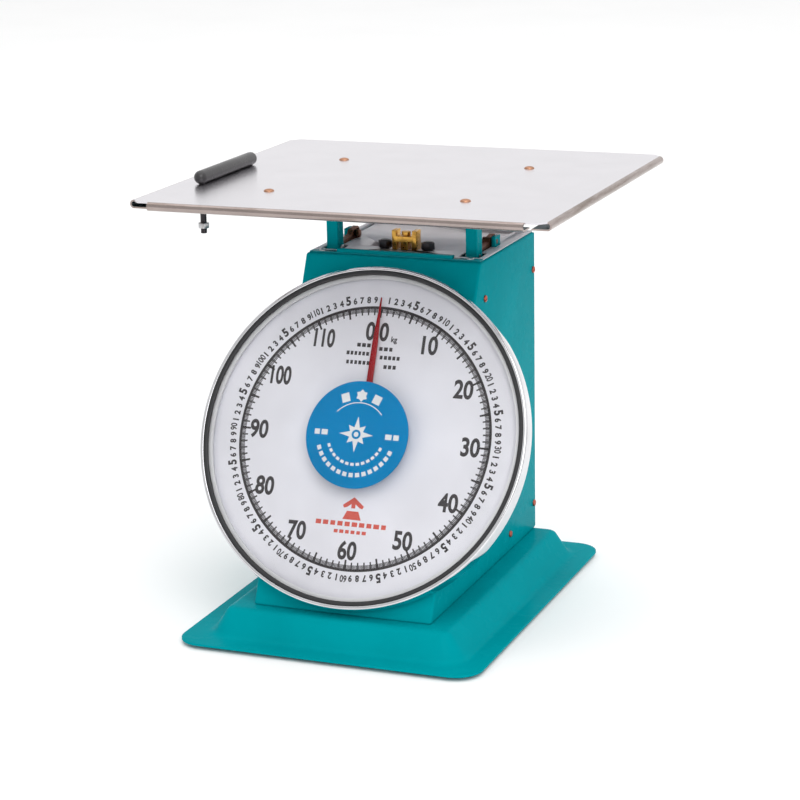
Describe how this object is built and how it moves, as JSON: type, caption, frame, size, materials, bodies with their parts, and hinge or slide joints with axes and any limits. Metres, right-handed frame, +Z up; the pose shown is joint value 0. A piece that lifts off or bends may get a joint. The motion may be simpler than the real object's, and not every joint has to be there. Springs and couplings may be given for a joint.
{
  "type": "mechanical dial platform scale",
  "caption": "Spring platform scale: flat metal pan on two posts above a leaning round dial with a needle, on a hollow pressed base.",
  "frame": {"origin": "on the floor, under the middle of the whole scale's box; the feet's undersides are at Z 0", "axes": "+X to the right of someone reading the dial, +Y away from them, along the platform's overhang, +Z up"},
  "size_m": [0.325, 0.3454, 0.3376],
  "materials": {
    "teal_paint": "glossy",
    "black_rubber": "matte",
    "pale_steel": "satin",
    "plain_steel": "satin",
    "dark_steel": "satin",
    "brown_steel": "satin",
    "stainless_plate": "brushed",
    "copper_rivet": "satin",
    "brass": "satin",
    "dark_paint": "satin",
    "white_dial": "satin",
    "white_plastic": "satin",
    "clear_cover": "polished",
    "chrome": "polished",
    "blue_disc": "glossy",
    "red_paint": "satin"
  },
  "bodies": {
    "frame": {"arbor_bushes": "brass", "back_cover": "teal_paint", "base_tray": "teal_paint", "bezel": "chrome", "bezel_seal": "black_rubber", "check_rod_pivots": "brown_steel", "cover_screws": "plain_steel", "dial_drum": "dark_paint", "dial_glass": "clear_cover", "dial_plate": "white_dial", "dial_spacer_ring": "white_plastic", "frame_bolts": "plain_steel", "frame_left": "plain_steel", "frame_nuts": "plain_steel", "frame_right": "plain_steel", "front_rail": "teal_paint", "hanger_bolts": "dark_steel", "hanger_nuts": "dark_steel", "housing_shell": "teal_paint", "lower_pivot_blocks": "plain_steel", "medallion": "blue_disc", "movement_bolts": "plain_steel", "movement_front_plate": "plain_steel", "movement_rear_plate": "plain_steel", "movement_spacers": "plain_steel", "pivot_lugs": "teal_paint", "rubber_feet": "black_rubber", "side_screws": "copper_rivet", "spring_bridge": "plain_steel", "spring_left": "dark_steel", "spring_right": "dark_steel", "spring_top_plugs": "plain_steel", "top_cover": "pale_steel", "zero_block": "brass"},
    "carriage": {"post_left": "teal_paint", "post_right": "teal_paint", "lower_beam": "plain_steel", "carriage_bolts": "plain_steel", "spring_anchor_bolts": "plain_steel", "spring_bottom_plugs": "plain_steel", "check_rod_pins": "plain_steel", "rack": "plain_steel", "rack_bracket": "plain_steel", "rack_screws": "plain_steel", "platform_crossbar": "teal_paint", "platform_rails": "teal_paint", "platform_plate": "stainless_plate", "plate_rivets": "copper_rivet", "side_grip": "black_rubber", "grip_bolts": "plain_steel", "grip_nuts": "plain_steel"},
    "pointer": {"pointer_arbor": "plain_steel", "pointer_hub": "brass", "pointer_needle": "red_paint"},
    "upper_rod_left_body": {"upper_rod_left": "brown_steel"},
    "upper_rod_right_body": {"upper_rod_right": "brown_steel"},
    "lower_rod_left_body": {"lower_rod_left": "brown_steel"},
    "lower_rod_right_body": {"lower_rod_right": "brown_steel"},
    "zero_adjuster": {"zero_screw": "brass"}
  },
  "joints": [
    {"name": "carriage_slide", "type": "slide", "parent": "frame", "child": "carriage", "axis": [0, 0, -1], "range_m": [0, 0.01387], "stiffness_N_per_m": 84800, "springref_m": -0.0006, "deforming": ["spring_left", "spring_right"]},
    {"name": "pointer_spin", "type": "hinge", "parent": "frame", "child": "pointer", "pos_m": [0, -0.07438, 0.1443], "axis": [0, 0.9048, -0.4258], "range_deg": [0, 360]},
    {"name": "upper_rod_left_swing", "type": "hinge", "parent": "carriage", "child": "upper_rod_left_body", "pos_m": [-0.057, 0.01125, 0.27], "axis": [1, 0, 0], "range_deg": [0, 19.7]},
    {"name": "upper_rod_right_swing", "type": "hinge", "parent": "carriage", "child": "upper_rod_right_body", "pos_m": [0.057, 0.01125, 0.27], "axis": [1, 0, 0], "range_deg": [0, 19.7]},
    {"name": "lower_rod_left_swing", "type": "hinge", "parent": "carriage", "child": "lower_rod_left_body", "pos_m": [-0.057, 0.01125, 0.1185], "axis": [1, 0, 0], "range_deg": [0, 19.7]},
    {"name": "lower_rod_right_swing", "type": "hinge", "parent": "carriage", "child": "lower_rod_right_body", "pos_m": [0.057, 0.01125, 0.1185], "axis": [1, 0, 0], "range_deg": [0, 19.7]},
    {"name": "zero_screw_turn", "type": "hinge", "parent": "frame", "child": "zero_adjuster", "pos_m": [0, 0.01575, 0.283], "axis": [0, 0, 1], "range_deg": [-180, 180]}
  ],
  "couplings": [
    {"joint": "pointer_spin", "follows": "carriage_slide", "rad_per_m": 452.41},
    {"joint": "upper_rod_left_swing", "follows": "carriage_slide", "rad_per_m": 24.739},
    {"joint": "upper_rod_right_swing", "follows": "carriage_slide", "rad_per_m": 24.739},
    {"joint": "lower_rod_left_swing", "follows": "carriage_slide", "rad_per_m": 24.739},
    {"joint": "lower_rod_right_swing", "follows": "carriage_slide", "rad_per_m": 24.739}
  ]
}
